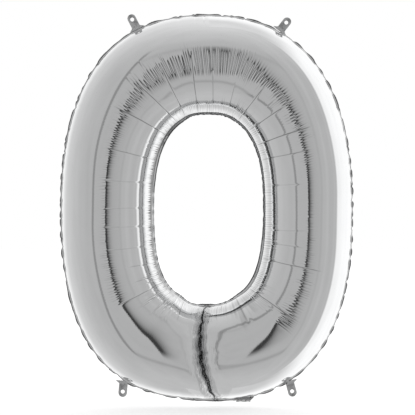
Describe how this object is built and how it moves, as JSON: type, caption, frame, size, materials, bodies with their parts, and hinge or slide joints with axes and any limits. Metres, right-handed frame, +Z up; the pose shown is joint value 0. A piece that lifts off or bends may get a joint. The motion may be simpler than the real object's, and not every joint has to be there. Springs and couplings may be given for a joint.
{
  "type": "foil number balloon",
  "caption": "Inflated silver foil balloon shaped as the digit zero, with welded hems, a slit in its lower limb, punched hanging tabs and a self-sealing filling neck.",
  "frame": {"origin": "under the middle of the balloon, in the plane of its hems, level with the lowest point of the bottom tabs", "axes": "+Z up, the way the balloon hangs; the front faces -Y; +X to the viewer's right"},
  "size_m": [0.656, 0.184, 0.8657],
  "materials": {
    "foil": "mirror silver metallised film, drawn tight by the gas, finely creased round the hole",
    "hem": "two metallised films welded into one, slightly puckered",
    "tab": "welded metallised film with a fine heat-seal texture",
    "neck_film": "metallised film, limp and lightly creased",
    "valve_film": "clear thin polyethylene film"
  },
  "bodies": {
    "balloon": {"front_panel": "foil", "back_panel": "foil", "outer_hem": "hem", "hole_hem": "hem", "slit_weld": "hem"},
    "hang_tab_top_left": {"hang_tab_top_left": "tab"},
    "hang_tab_top_right": {"hang_tab_top_right": "tab"},
    "hang_tab_bottom_left": {"hang_tab_bottom_left": "tab"},
    "hang_tab_bottom_right": {"hang_tab_bottom_right": "tab"},
    "neck": {"neck_front_film": "neck_film", "neck_back_film": "neck_film"},
    "valve": {"valve_front_film": "valve_film", "valve_back_film": "valve_film"}
  },
  "joints": [
    {"name": "hang_tab_top_left_fold", "type": "hinge", "parent": "balloon", "child": "hang_tab_top_left", "pos_m": [-0.15831, 0, 0.8377], "axis": [0.891, 0, 0.454], "range_deg": [-100, 100], "stiffness_Nm_per_rad": 0.0003},
    {"name": "hang_tab_top_right_fold", "type": "hinge", "parent": "balloon", "child": "hang_tab_top_right", "pos_m": [0.16741, 0, 0.83272], "axis": [0.788, 0, -0.6157], "range_deg": [-100, 100], "stiffness_Nm_per_rad": 0.0003},
    {"name": "hang_tab_bottom_left_fold", "type": "hinge", "parent": "balloon", "child": "hang_tab_bottom_left", "pos_m": [-0.18532, 0, 0.03975], "axis": [-0.9962, 0, 0.0872], "range_deg": [-100, 100], "stiffness_Nm_per_rad": 0.0003},
    {"name": "hang_tab_bottom_right_fold", "type": "hinge", "parent": "balloon", "child": "hang_tab_bottom_right", "pos_m": [0.18627, 0, 0.03992], "axis": [-0.9659, 0, -0.2588], "range_deg": [-100, 100], "stiffness_Nm_per_rad": 0.0003},
    {"name": "neck_fold", "type": "hinge", "parent": "balloon", "child": "neck", "pos_m": [0.08168, 0, 0.00035], "axis": [-1, 0, 0], "range_deg": [-6, 200], "stiffness_Nm_per_rad": 0.001},
    {"name": "valve_swing", "type": "hinge", "parent": "balloon", "child": "valve", "pos_m": [0.08168, 0, 0.01619], "axis": [1, 0, 0], "range_deg": [-10, 10], "stiffness_Nm_per_rad": 0.002}
  ]
}
